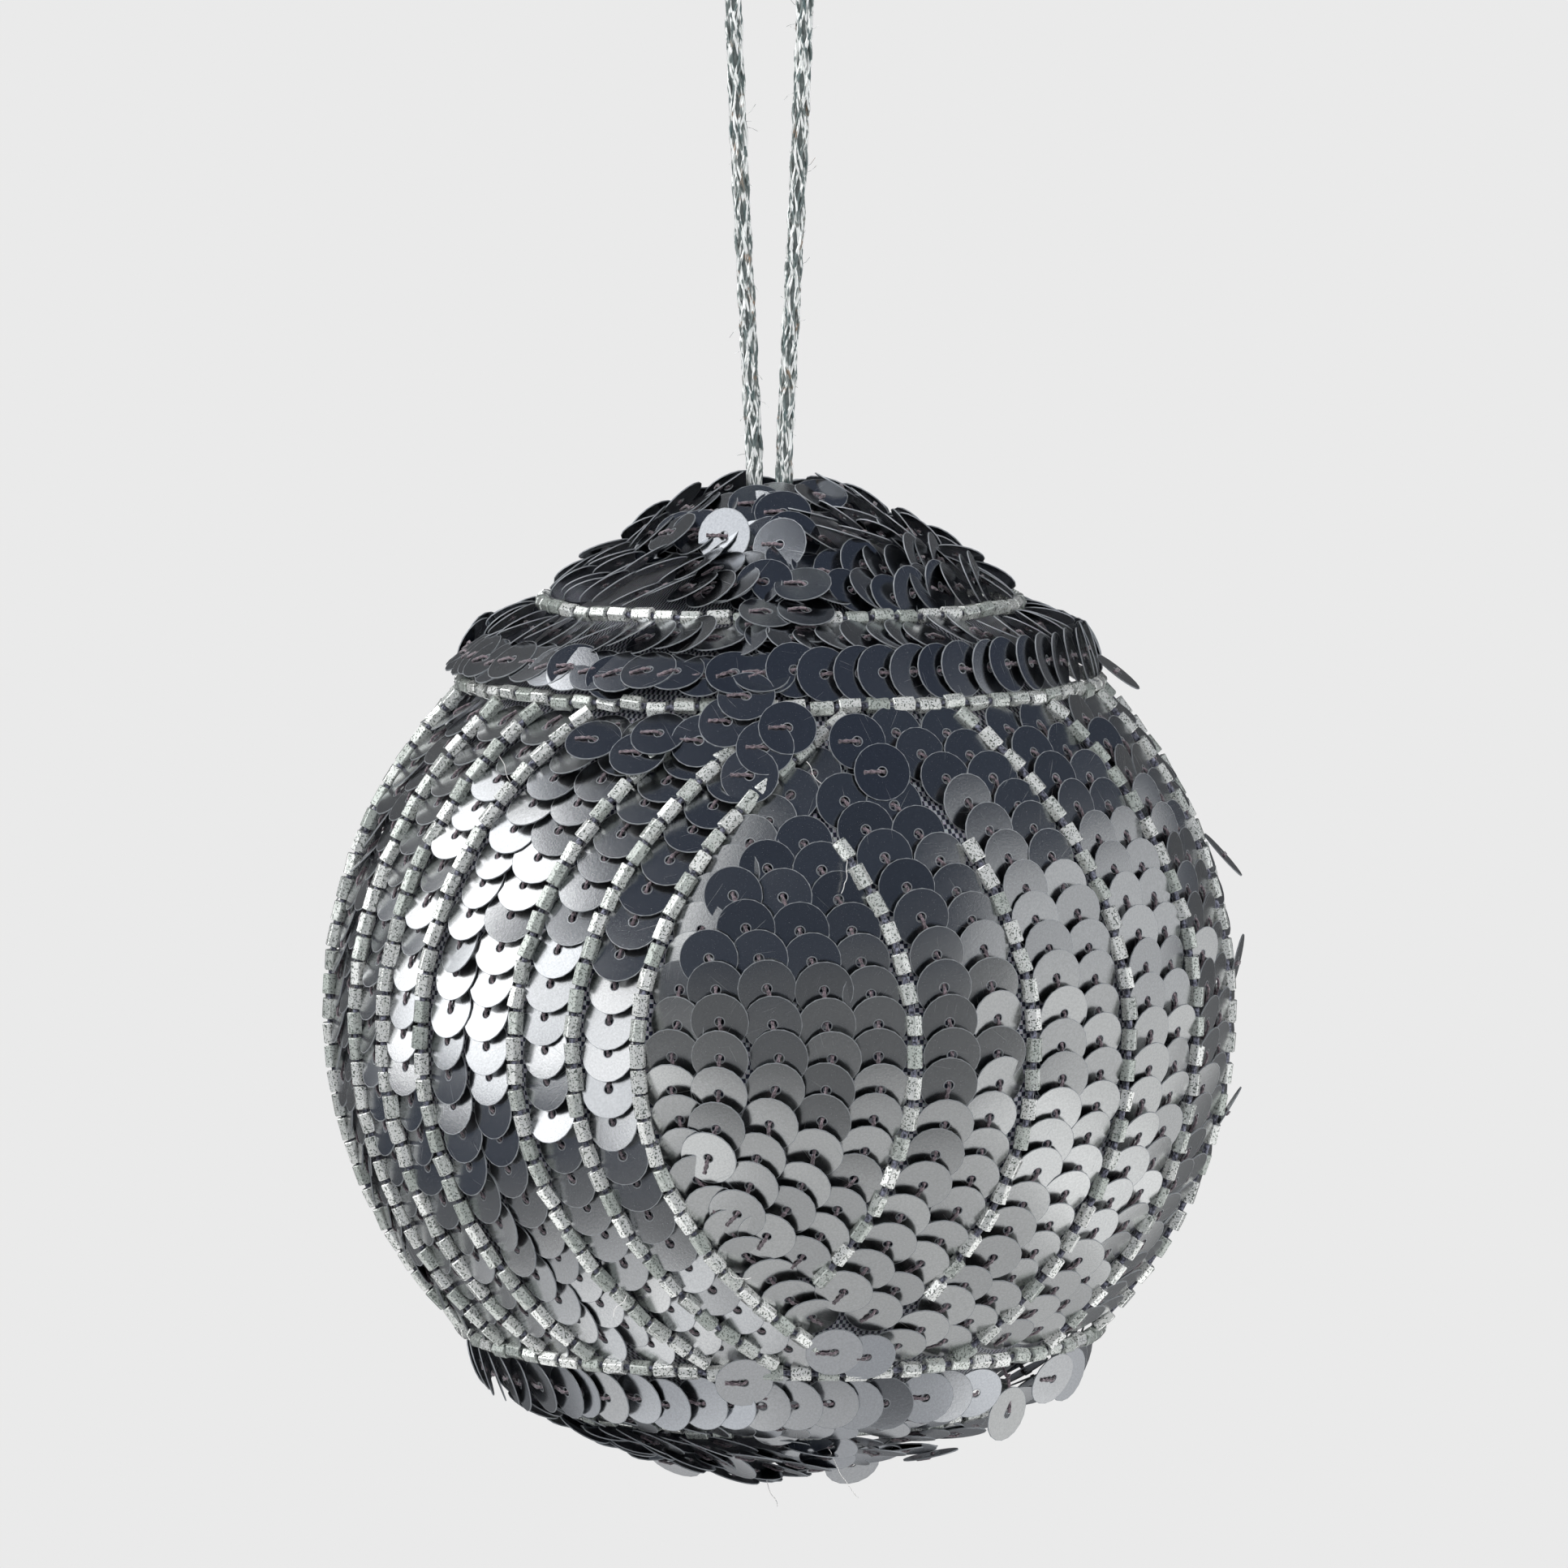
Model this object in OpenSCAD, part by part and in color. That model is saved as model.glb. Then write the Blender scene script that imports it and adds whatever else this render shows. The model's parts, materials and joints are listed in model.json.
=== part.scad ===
// Sequin and bead embroidered ball ornament on a looped metallic cord.
// Origin: the hanging point, at the inside top of the cord loop. +Z up, the front is -Y. Millimetres.

/* [Ball] */
// Radius from the ball's middle to the middle of the beads on its side
bead_path_r = 40.2; // [39.8:0.1:40.6]
// Distance from the hanging point down to the ball's middle
hang_drop = 131; // [130.6:0.1:131.4]
// Sideways distance from the cord's loop to the ball's middle
ball_shift = 1; // [0:0.1:1.2]
// Thickness of the ground cloth
cloth_t = 0.4; // [0.3:0.05:0.45]

/* [Sequins] */
// Diameter of a sequin
sequin_d = 5; // [4.6:0.1:5]
// Diameter of the hole in a sequin
sequin_hole_d = 0.8; // [0.6:0.1:1.2]
// Thickness of a sequin
sequin_t = 0.12; // [0.1:0.01:0.14]
// Distance from one sequin to the next along a row
sequin_pitch = 2.8; // [2.7:0.1:3.2]
// How far each sequin is tilted by the one it lies on
sequin_tilt = 8; // [7:0.5:9]

/* [Beads] */
// Diameter of a tube bead
bead_d = 1.45; // [1.3:0.05:1.45]
// Length of a tube bead
bead_len = 1.9; // [1.7:0.1:2]
// Diameter of the hole in a tube bead
bead_hole_d = 0.7; // [0.5:0.1:0.9]
// Distance from one bead to the next along a line
bead_pitch = 2.4; // [2.3:0.1:2.8]

/* [Cord] */
// Diameter of the braided hanging cord
cord_d = 1.7; // [1.6:0.05:1.8]
// Sideways distance from the loop's middle to each strand where it enters the crown
strand_x = 1.3; // [1.2:0.1:1.4]

/* [Loose sequin] */
// Length of the thread that the loose sequin hangs by
loose_thread_len = 3; // [2.4:0.1:3.4]
// Diameter of that thread
thread_d = 0.25; // [0.2:0.05:0.4]

/* [Hidden] */
$fn = 32;

// Depths below the beads' path, towards the ball's middle
sequin_depth = 1.45;
cloth_depth = 2.15;
cloth_inside = cloth_depth + cloth_t;
core_depth = cloth_inside + 0.15;
// Gap where two pieces of cloth are butted together
cloth_gap = 0.15;

// The ball's outline along the beads' path, as [radius, height] from its middle: where the side ends and where
// the upper and lower tiers change slope
crown_top = [3, 45.6];
crown_ring = [20.4, 35.8];
shoulder_ring = [28.1, 28.8];
lower_ring = [28.1, -28.8];
base_ring = [19.3, -35.3];
base_bottom = [0.5, -42];
side_lat = 45.7;
side_steps = 24;

// Cord entry: the pivot between the free cord and the crown, and the socket in the core
pivot_z = -84.6;
cord_gap = 0.9;
socket_d = 6;
socket_depth = 12;
tail_len = 9;
knot_d = 4.4;
plug_h = 4;
glue_gap = 0.05;

// The embroidered strips run pole to pole, at a constant distance from a spine on each side of the ball.
// Angles at the equator from the spine: a bead line at each entry, and the rows of sequins up to the next one.
line_angle = [72.5, 64, 55.5, 39.5, 31, 22.5, 6.5, -9.5, -25.5, -41.5, -57.5, -73.5];
rows_after = [1, 1, 2, 1, 1, 2, 2, 2, 2, 2, 2, 5];
row_inset = 4.25;
row_step = 7.5;
leaf_row_step = 6.35;
last_line_up = 6;
row_lat = 41;
line_lat = 42.4;
seam_clear = 7.6;
bead_seam_clear = 3.4;
cross_tilt = 8;

// The loose sequin hangs from the hole of this sequin in the band's upper row, counted round from the right
loose_from = 47;
band_rows = [2.6, 7.7];
stitch_len = 2.2;
loose_stand_off = 1.6;
loose_gap = 0.75;

// Half of the free cord's route, [sideways, height], from the crown up to the top of the loop
cord_half = [[1.35, -82], [1.6, -77], [1.9, -71], [2.2, -65], [2.5, -59], [2.75, -53], [3, -47], [3.2, -41],
             [3.4, -35], [3.6, -29], [3.8, -23], [4, -17], [4.2, -11], [4.3, -6.5], [4.3, -3.5], [3.7, -1.3],
             [2.15, 0.3]];
cord_sides = 8;

// A point of the outline moved towards the ball's middle
function deeper(p, depth) = p * (1 - depth / norm(p));
// The round side between the two rings, from the bottom up
function side_arc(depth) =
    [for (i = [1 : side_steps - 1])
        let (lat = side_lat * (2 * i / side_steps - 1)) (bead_path_r - depth) * [cos(lat), sin(lat)]];
function lower_outline(depth) = [deeper(base_bottom, depth), deeper(base_ring, depth), deeper(lower_ring, depth)];
// A point a little way along the line to the next one
function toward(p, q, d) = p + (q - p) / norm(q - p) * d;
function upper_outline(depth) = [deeper(shoulder_ring, depth), deeper(crown_ring, depth), deeper(crown_top, depth)];

module on_ball() translate([ball_shift, 0, -hang_drop]) children();

// Puts a child on the ball at a longitude (0 at the front) and latitude: its +X points outwards, +Z towards the top
module at(lon, lat, r) rotate([0, 0, lon - 90]) rotate([0, -lat, 0]) translate([r, 0, 0]) children();

// ---- single pieces ----

module disc() rotate_extrude() translate([sequin_hole_d / 2, -sequin_t / 2])
    square([(sequin_d - sequin_hole_d) / 2, sequin_t]);

module tube_bead() rotate_extrude() translate([bead_hole_d / 2, -bead_len / 2])
    square([(bead_d - bead_hole_d) / 2, bead_len]);

// ---- rows on the round side ----

function row_lon(angle, lat) = angle / cos(lat);
// How far a row turns away from the meridian at a latitude
function heading(angle, lat) = atan(angle * PI / 180 * tan(lat));
// The step in latitude that makes one pitch along a row
function lat_step(angle, lat, pitch, r) = pitch / r * 180 / PI * cos(heading(angle, lat));
// Clear distance, in degrees, from a row to the other half's seam, whose own angle is given
function seam_gap(angle, lat, seam) = (180 * cos(lat) - abs(angle) - seam) * cos(heading(seam, lat));

// Latitudes of the pieces along a row, from the equator up
function lats(angle, pitch, r, top, lat = 0) =
    lat > top ? [] : concat([lat], lats(angle, pitch, r, top, lat + lat_step(angle, lat, pitch, r)));
// The same both ways from the equator
function all_lats(angle, pitch, r, top) =
    let (up = lats(angle, pitch, r, top)) concat([for (i = [len(up) - 1 : -1 : 1]) -up[i]], up);

function row_angles(strip) = let (last = strip == len(line_angle) - 1)
    [for (i = [0 : rows_after[strip] - 1]) line_angle[strip] - row_inset - i * (last ? leaf_row_step : row_step)];

// One row of sequins; over = 1 lays each over the next one below, -1 over the next one above
module sequin_row(angle, over) {
    r = bead_path_r - sequin_depth;
    seam = line_angle[0] - row_inset;
    for (lat = all_lats(angle, sequin_pitch, r, row_lat))
        if (angle > 0 || seam_gap(angle, lat, seam) > seam_clear)
            at(row_lon(angle, lat), lat, r) rotate([-heading(angle, lat), 0, 0])
                rotate([0, 90 - over * sequin_tilt, 0]) rotate([cross_tilt, 0, 0]) disc();
}

module sequin_strip(strip, side) color(strip < last_line_up + 1 ? "#565a61" : "#b4b8ba") on_ball()
    rotate([0, 0, side]) for (angle = row_angles(strip)) sequin_row(angle, strip <= last_line_up ? 1 : -1);

module bead_line(angle) {
    seam = line_angle[0];
    for (lat = all_lats(angle, bead_pitch, bead_path_r, line_lat))
        if (angle > 0 || seam_gap(angle, lat, seam) > bead_seam_clear)
            at(row_lon(angle, lat), lat, bead_path_r) rotate([-heading(angle, lat), 0, 0]) tube_bead();
}

module bead_lines(first, last, side) color("#c9ccc6") on_ball() rotate([0, 0, side])
    for (i = [first : last]) bead_line(line_angle[i]);

// ---- rings and tiers ----

module bead_ring(p) {
    count = floor(2 * PI * p[0] / bead_pitch);
    color("#c9ccc6") on_ball() for (i = [1 : count])
        rotate([0, 0, i * 360 / count]) translate([p[0], 0, p[1]]) rotate([90, 0, 0]) tube_bead();
}

// Where the sequins of a row on a tier sit in the outline, their slope, and how many there are
function tier_point(from, to, along) = toward(deeper(from, sequin_depth), deeper(to, sequin_depth), along);
function tier_slope(from, to) = let (d = deeper(to, sequin_depth) - deeper(from, sequin_depth)) atan2(d[1], d[0]);
function tier_count(from, to, along) = floor(2 * PI * tier_point(from, to, along)[0] / (sequin_pitch + 0.15));

// A ring of sequins on the tier from one outline corner to the next; lift raises each edge that faces the next row,
// and proud raises the whole row off the cloth
module tier_row(from, to, along, lift, proud) {
    p = tier_point(from, to, along);
    slope = tier_slope(from, to);
    count = tier_count(from, to, along);
    turn = 360 / count * abs(sin(slope));
    for (i = [1 : count]) rotate([0, 0, i * 360 / count]) translate([p[0], 0, p[1]])
        rotate([0, -slope, 0]) translate([0, 0, -sign(lift) * proud]) rotate([sequin_tilt + turn / 2, 0, 0])
            rotate([0, lift, 0]) disc();
}

module tier_rows(from, to, rows, lift = 0, proud = 0) color("#7b7f85") on_ball()
    for (along = rows) tier_row(from, to, along, lift, proud);

// A cloth shell between two outlines, over part of a turn
module shell(outer, inner, from = 0, angle = 360)
    rotate([0, 0, from]) rotate_extrude(angle = angle, $fn = 96)
        polygon(concat(outer, [for (i = [len(inner) - 1 : -1 : 0]) inner[i]]));

function edge(from, to, depth) = toward(deeper(from, depth), deeper(to, depth), cloth_gap);

module cloth(from, to) color("#3a3d45") on_ball() shell(
    [edge(from, to, cloth_depth), edge(to, from, cloth_depth)],
    [edge(from, to, cloth_inside), edge(to, from, cloth_inside)]);

function side_outline(depth) = let (arc = side_arc(depth), last = len(arc) - 1)
    concat([toward(deeper(lower_ring, depth), arc[0], cloth_gap)], arc,
        [toward(deeper(shoulder_ring, depth), arc[last], cloth_gap)]);

// The crown's cloth is cut open over the core's socket
module crown_cloth() color("#3a3d45") difference() {
    cloth(crown_ring, crown_top);
    translate([0, 0, -hang_drop]) cylinder(d = socket_d, h = hang_drop);
}

module side_cloth(from) color("#3a3d45") on_ball()
    shell(side_outline(cloth_depth), side_outline(cloth_inside), from, 179.6);

// ---- sub-parts ----

module foam_core() color("#efece4") on_ball() difference() {
    rotate_extrude($fn = 96) polygon(concat([[0, deeper(base_bottom, core_depth)[1]]], lower_outline(core_depth),
        side_arc(core_depth), upper_outline(core_depth), [[0, deeper(crown_top, core_depth)[1]]]));
    translate([-ball_shift, 0, deeper(crown_top, core_depth)[1] - socket_depth])
        cylinder(d = socket_d, h = socket_depth + 1);
}

cord_route = concat([[-strand_x, 0, pivot_z]], [for (p = cord_half) [-p[0], 0, p[1]]], [[0, 0, cord_d / 2]],
    [for (i = [len(cord_half) - 1 : -1 : 0]) [cord_half[i][0], 0, cord_half[i][1]]], [[strand_x, 0, pivot_z]]);

// Direction of the route at a point, and one ring of the tube round it; the route lies in the XZ plane
function along(i) = let (a = cord_route[max(i - 1, 0)], b = cord_route[min(i + 1, len(cord_route) - 1)])
    (b - a) / norm(b - a);
function ring_at(i) = let (d = i == 0 ? [0, 0, 1] : i == len(cord_route) - 1 ? [0, 0, -1] : along(i),
                           side = [d[2], 0, -d[0]])
    [for (k = [0 : cord_sides - 1]) let (turn = (k + 0.5) * 360 / cord_sides)
        cord_route[i] + cord_d / 2 * (cos(turn) * side + sin(turn) * [0, 1, 0])];

module hanging_cord() {
    last = len(cord_route) - 1;
    points = [for (i = [0 : last]) each ring_at(i)];
    walls = [for (i = [0 : last - 1], k = [0 : cord_sides - 1])
        let (n = (k + 1) % cord_sides, a = i * cord_sides, b = a + cord_sides) [a + k, a + n, b + n, b + k]];
    start = [for (k = [cord_sides - 1 : -1 : 0]) k];
    end = [for (k = [0 : cord_sides - 1]) last * cord_sides + k];
    color("#d3d6d4") polyhedron(points, concat(walls, [start, end]));
}

// The two strands inside the crown, joined by the knot that holds them in the foam
module cord_tails() {
    top = pivot_z - cord_gap;
    color("#d3d6d4") union() {
        for (x = [-strand_x, strand_x]) translate([x, 0, top - tail_len]) cylinder(d = cord_d, h = tail_len);
        translate([0, 0, top - tail_len]) sphere(d = knot_d);
    }
}

module strand_holes(from, h) for (x = [-strand_x, strand_x])
    translate([x, 0, from]) cylinder(d = cord_d + glue_gap, h = h);

// Hot glue that fills the mouth of the core's socket round the two strands
module glue_plug() {
    mouth = deeper(crown_top, core_depth)[1] - hang_drop;
    color("#7a4a2c") difference() {
        translate([0, 0, mouth - plug_h]) cylinder(d = socket_d - 2 * glue_gap, h = plug_h);
        strand_holes(mouth - plug_h - 1, plug_h + 2);
    }
}

// Hot glue round one strand where it goes into the crown
module glue_bead(x) {
    top = pivot_z - cord_gap;
    color("#7a4a2c") difference() {
        translate([x, 0, top - 1.6]) cylinder(d1 = 2.5, d2 = 2.1, h = 1.4);
        strand_holes(top - 3, 4);
    }
}

// The hole in the band that the loose sequin's thread comes out of, with +Z out of the band
module loose_hole() on_ball() let (along = band_rows[0], p = tier_point(lower_ring, base_ring, along))
    rotate([0, 0, loose_from * 360 / tier_count(lower_ring, base_ring, along)]) translate([p[0], 0, p[1]])
        children();

module loose_pivot() let (slope = tier_slope(lower_ring, base_ring))
    loose_hole() translate(loose_stand_off * [-sin(slope), 0, cos(slope)]) children();

// A sequin that has come off its row and hangs by its own thread
module loose_sequin() color("#9a9da0") loose_pivot() {
    translate([0, 0, -loose_gap - loose_thread_len]) cylinder(d = thread_d, h = loose_thread_len);
    translate([0, 0, -loose_gap - loose_thread_len - (sequin_d - sequin_hole_d) / 4]) rotate([0, 90, 0])
        translate([-(sequin_d + sequin_hole_d) / 4, 0, 0]) rotate([0, 180, 0]) disc();
}

// The stitch that the loose sequin swings from, coming out of the cloth through the hole and ending in a knot
module loose_thread_stitch() color("#5d4038") {
    loose_hole() rotate([0, -tier_slope(lower_ring, base_ring), 0]) translate([0, 0, loose_stand_off - stitch_len])
        cylinder(d = thread_d, h = stitch_len);
    loose_pivot() sphere(d = 0.6);
}

foam_core();
crown_cloth();
cloth(shoulder_ring, crown_ring);  // shoulder_cloth
side_cloth(90);  // side_cloth_left
side_cloth(-90);  // side_cloth_right
cloth(base_ring, lower_ring);  // band_cloth
cloth(base_bottom, base_ring);  // base_cloth
hanging_cord();
cord_tails();
glue_bead(-strand_x);  // glue_bead_left
glue_bead(strand_x);  // glue_bead_right
bead_ring(crown_ring);  // crown_beads
bead_ring(shoulder_ring);  // shoulder_beads
bead_ring(lower_ring);  // lower_beads
bead_ring(base_ring);  // base_beads
bead_lines(0, 0, -90);  // seam_beads_front
bead_lines(0, 0, 90);  // seam_beads_back
bead_lines(1, 6, -90);  // left_rib_beads_near
bead_lines(7, 11, -90);  // left_rib_beads_far
bead_lines(7, 11, 90);  // right_rib_beads_near
bead_lines(1, 6, 90);  // right_rib_beads_far
tier_rows(crown_ring, crown_top, [2.6, 7.2], 8);  // crown_sequins_outer
tier_rows(crown_ring, crown_top, [11.6], 8);  // crown_sequins_inner
tier_rows(crown_ring, crown_top, [16.1], 8, 1.4);  // crown_sequins_top
tier_rows(crown_ring, shoulder_ring, [2.52]);  // shoulder_sequins_upper
tier_rows(crown_ring, shoulder_ring, [7.5]);  // shoulder_sequins_lower
tier_rows(lower_ring, base_ring, [band_rows[0]]);  // band_sequins_upper
tier_rows(lower_ring, base_ring, [band_rows[1]]);  // band_sequins_lower
tier_rows(base_ring, base_bottom, [2.6, 7.4], -8);  // base_sequins_outer
tier_rows(base_ring, base_bottom, [12.1], -8);  // base_sequins_inner
tier_rows(base_ring, base_bottom, [16.6], -8, 1.4);  // base_sequins_end
for (i = [0 : 10]) {
    sequin_strip(i, -90);
    sequin_strip(i, 90);
}
sequin_strip(11, -90);  // leaf_back
sequin_strip(11, 90);  // leaf_front
loose_sequin();
loose_thread_stitch();
glue_plug();
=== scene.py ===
import json
import random
from math import asin, atan, atan2, cos, degrees, exp, floor, hypot, pi, radians, sin, sqrt, tan

import bpy
from mathutils import Matrix, Vector


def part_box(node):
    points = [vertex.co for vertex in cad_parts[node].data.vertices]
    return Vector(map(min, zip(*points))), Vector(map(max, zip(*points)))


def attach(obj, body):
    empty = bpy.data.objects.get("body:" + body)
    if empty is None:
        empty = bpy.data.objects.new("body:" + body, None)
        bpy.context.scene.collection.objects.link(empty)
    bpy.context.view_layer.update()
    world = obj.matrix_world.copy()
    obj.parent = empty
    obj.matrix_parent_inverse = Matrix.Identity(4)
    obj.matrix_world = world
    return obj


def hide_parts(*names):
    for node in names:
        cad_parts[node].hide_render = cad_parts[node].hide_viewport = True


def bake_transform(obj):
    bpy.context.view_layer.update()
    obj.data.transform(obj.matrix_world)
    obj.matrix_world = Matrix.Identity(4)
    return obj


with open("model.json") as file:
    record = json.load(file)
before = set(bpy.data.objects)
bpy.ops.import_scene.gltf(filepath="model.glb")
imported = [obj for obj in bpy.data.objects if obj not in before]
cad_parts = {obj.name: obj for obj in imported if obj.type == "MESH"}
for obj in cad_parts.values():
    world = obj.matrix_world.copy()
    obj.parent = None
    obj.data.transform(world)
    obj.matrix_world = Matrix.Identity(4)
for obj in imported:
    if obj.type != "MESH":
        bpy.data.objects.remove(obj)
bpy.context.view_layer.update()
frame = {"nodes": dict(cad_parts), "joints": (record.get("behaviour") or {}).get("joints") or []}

# ---- Viewpoint ----
# The ornament is looked at from its front, a little above the ball's middle, through a long lens. The cord's
# loop runs out of the top of the frame. The ball's middle lies halfway between its two widest bead rings.
ball = (Vector(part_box("lower_beads")[0]) + Vector(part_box("shoulder_beads")[1])) / 2
camera_rise = radians(5.5)
camera_distance = 0.767
camera_data = bpy.data.cameras.new("camera")
camera_data.lens = 200
camera_data.sensor_width = 36
camera = bpy.data.objects.new("camera", camera_data)
bpy.context.collection.objects.link(camera)
aim = ball + Vector((0.0003, 0, 0.0193))
camera.location = aim + camera_distance * Vector((0, -cos(camera_rise), sin(camera_rise)))
camera.rotation_euler = (pi / 2 - camera_rise, 0, 0)
bpy.context.scene.camera = camera
bpy.context.scene.view_settings.view_transform = "Standard"


# ---- Hanging cord ----
# One length of tubular braid in silver metallic yarn, folded in two. Both ends are glued into the crown and the
# fold makes the loop that it hangs by. Eight yarns, each of two filaments, are braided over a dark core.
cord_d = 0.0017
strand_x = 0.0013
crown_exit = -0.0863
loop_top = cord_d / 2
half_route = [(1.35, -82), (1.6, -77), (1.9, -71), (2.2, -65), (2.5, -59), (2.75, -53), (3, -47), (3.2, -41),
              (3.4, -35), (3.6, -29), (3.8, -23), (4, -17), (4.2, -11), (4.3, -6.5), (4.3, -3.5), (3.7, -1.3),
              (2.15, 0.3)]
route = ([Vector((-strand_x, 0, crown_exit))] + [Vector((-x, 0, z)) / 1000 for x, z in half_route]
         + [Vector((0, 0, loop_top))] + [Vector((x, 0, z)) / 1000 for x, z in reversed(half_route)]
         + [Vector((strand_x, 0, crown_exit))])


def select_only(*objects):
    """Selects these objects and nothing else; the first is the active one."""
    bpy.ops.object.select_all(action="DESELECT")
    for item in objects:
        item.select_set(True)
    bpy.context.view_layer.objects.active = objects[0]


def smooth_line(points, step):
    """Points a step apart along a smooth curve through these points."""
    fine = []
    for i in range(len(points) - 1):
        a, b, c, d = (points[min(max(i + k, 0), len(points) - 1)] for k in (-1, 0, 1, 2))
        for k in range(24):
            t = k / 24
            fine.append(0.5 * (2 * b + (c - a) * t + (2 * a - 5 * b + 4 * c - d) * t ** 2
                               + (3 * b - a - 3 * c + d) * t ** 3))
    fine.append(points[-1])
    line, since = [fine[0]], 0.0
    for before, after in zip(fine, fine[1:]):
        since += (after - before).length
        if since >= step:
            line.append(after)
            since = 0.0
    return line


def tube_lines(name, lines, radius):
    """A mesh of round threads: lines is a list of (points, thickness share, material number)."""
    curve = bpy.data.curves.new(name, "CURVE")
    curve.dimensions = "3D"
    curve.bevel_depth = radius
    curve.bevel_resolution = 1
    curve.use_fill_caps = True
    highest = max(number for _, _, number in lines)
    for _ in range(highest + 1):
        curve.materials.append(None)
    for points, share, number in lines:
        spline = curve.splines.new("POLY")
        spline.points.add(len(points) - 1)
        spline.points.foreach_set("co", [v for p in points for v in (*p, 1.0)])
        spline.points.foreach_set("radius", [share] * len(points))
        spline.material_index = number
    item = bpy.data.objects.new(name, curve)
    bpy.context.collection.objects.link(item)
    select_only(item)
    bpy.ops.object.convert(target="MESH")
    bpy.ops.object.shade_smooth()
    return bpy.context.view_layer.objects.active


def braid(line, step):
    """The filaments of a tubular braid round a line in the XZ plane, with its core."""
    yarns_each_way, turn_length, path_r, crossing = 4, 0.0148, 0.0006, 0.0001
    across = Vector((0, 1, 0))
    rng = random.Random(11)
    filaments = [(line, 4.0, 1)]
    for way in (1, -1):
        for yarn in range(yarns_each_way):
            for filament in (-0.2, 0.2):
                wander = [(rng.uniform(0.04, 0.13), rng.uniform(900, 2600), rng.uniform(0, 6))
                          for _ in range(2)]
                points = []
                for i, middle in enumerate(line):
                    ahead = line[min(i + 1, len(line) - 1)] - line[max(i - 1, 0)]
                    side = ahead.normalized().cross(across)
                    along = 2 * pi * i * step / turn_length
                    turn = way * along + 2 * pi * yarn / yarns_each_way + filament
                    turn += sum(size * sin(pace * i * step + start) for size, pace, start in wander)
                    r = path_r + way * crossing * cos(yarns_each_way * along) + rng.gauss(0, 0.000012)
                    points.append(middle + r * (cos(turn) * side + sin(turn) * across))
                filaments.append((points, 1.0, 0))
    return filaments


def fluff(line, count, rng):
    """Short broken fibres that stand off a cord."""
    hairs = []
    for _ in range(count):
        start = line[rng.randrange(5, len(line) - 5)]
        turn, reach = rng.uniform(0, 2 * pi), rng.uniform(0.0004, 0.0011)
        out = Vector((cos(turn), sin(turn), 0))
        rise = Vector((0, 0, rng.uniform(-1, 1) * reach))
        hairs.append(([start + 0.0006 * out, start + (0.0007 + reach / 2) * out + rise * 0.3,
                       start + (0.0007 + reach) * out + rise], 0.14, 0))
    return hairs


def new_finish(name, **values):
    """A Principled material with these plain values; gives the material, its node tree and its shader."""
    material = bpy.data.materials.new(name)
    material.use_nodes = True
    shader = material.node_tree.nodes["Principled BSDF"]
    for socket, value in values.items():
        shader.inputs[socket.replace("_", " ")].default_value = value
    return material, material.node_tree, shader


def add_node(tree, kind, links=(), **settings):
    """A node with these settings, whose inputs are linked or set from links, a list of (input, value)."""
    node = tree.nodes.new(kind)
    for setting, value in settings.items():
        setattr(node, setting, value)
    for socket, value in links:
        if isinstance(value, bpy.types.NodeSocket):
            tree.links.new(value, node.inputs[socket])
        else:
            node.inputs[socket].default_value = value
    return node


def own_noise(tree, scale):
    """Noise over a piece's own place."""
    place = add_node(tree, "ShaderNodeTexCoord")
    return add_node(tree, "ShaderNodeTexNoise", [("Vector", place.outputs["Object"]), ("Scale", scale)])


def ranged(tree, value, source, result=(0.0, 1.0)):
    """A value stretched from its source range to the result range."""
    return add_node(tree, "ShaderNodeMapRange", [("Value", value), ("From Min", source[0]),
                                                 ("From Max", source[1]), ("To Min", result[0]),
                                                 ("To Max", result[1])])


def two_tones(tree, value, low, high, start=0.0, end=1.0):
    """A ramp from the low colour, where the value is start, to the high one, where it is end."""
    ramp = add_node(tree, "ShaderNodeValToRGB", [("Fac", value)])
    for element, position, colour in zip(ramp.color_ramp.elements, (start, end), (low, high)):
        element.position = position
        element.color = (*colour, 1)
    return ramp


def mix_colours(tree, share, base, over, **settings):
    """A mix of two colours, each a socket or four plain numbers."""
    return add_node(tree, "ShaderNodeMix", [(0, share), (6, base), (7, over)], data_type="RGBA", **settings)


# The yarn is a flat metal strip twisted over dull fibre, so strokes alternate with grey ones; the strip's
# strokes are painted near white, as painted highlights of the metal
silver_yarn, tree, shader = new_finish("silver_yarn", Metallic=0.35, Roughness=0.25, Coat_Weight=0.6)
place = add_node(tree, "ShaderNodeTexCoord")
drawn = add_node(tree, "ShaderNodeMapping", [("Vector", place.outputs["Object"]), ("Scale", (1.0, 1.0, 0.26))])
strokes = add_node(tree, "ShaderNodeTexNoise", [("Vector", drawn.outputs["Vector"]), ("Scale", 2900.0),
                                                ("Detail", 2.0)])
# Mask of the strip's strokes, which get the painted highlight
painted_highlight_stroke = ranged(tree, strokes.outputs["Fac"], (0.46, 0.53))
fibre = two_tones(tree, own_noise(tree, 700.0).outputs["Fac"], (0.12, 0.17, 0.17), (0.22, 0.25, 0.24), 0.3, 0.6)
fibre.color_ramp.elements.new(0.72).color = (0.36, 0.24, 0.16, 1)
# Painted highlight: the strip's strokes are coloured near white to stand in for its glints, over the grey fibre
strip_painted_highlight = mix_colours(tree, painted_highlight_stroke.outputs["Result"], fibre.outputs["Color"], (0.98, 1.0, 0.98, 1))
tree.links.new(strip_painted_highlight.outputs[2], shader.inputs["Base Color"])

cord_core, tree, shader = new_finish("cord_core", Roughness=0.7, Metallic=0.3)
fibre = two_tones(tree, own_noise(tree, 2600.0).outputs["Fac"], (0.04, 0.05, 0.05), (0.3, 0.34, 0.33))
tree.links.new(fibre.outputs["Color"], shader.inputs["Base Color"])

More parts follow.
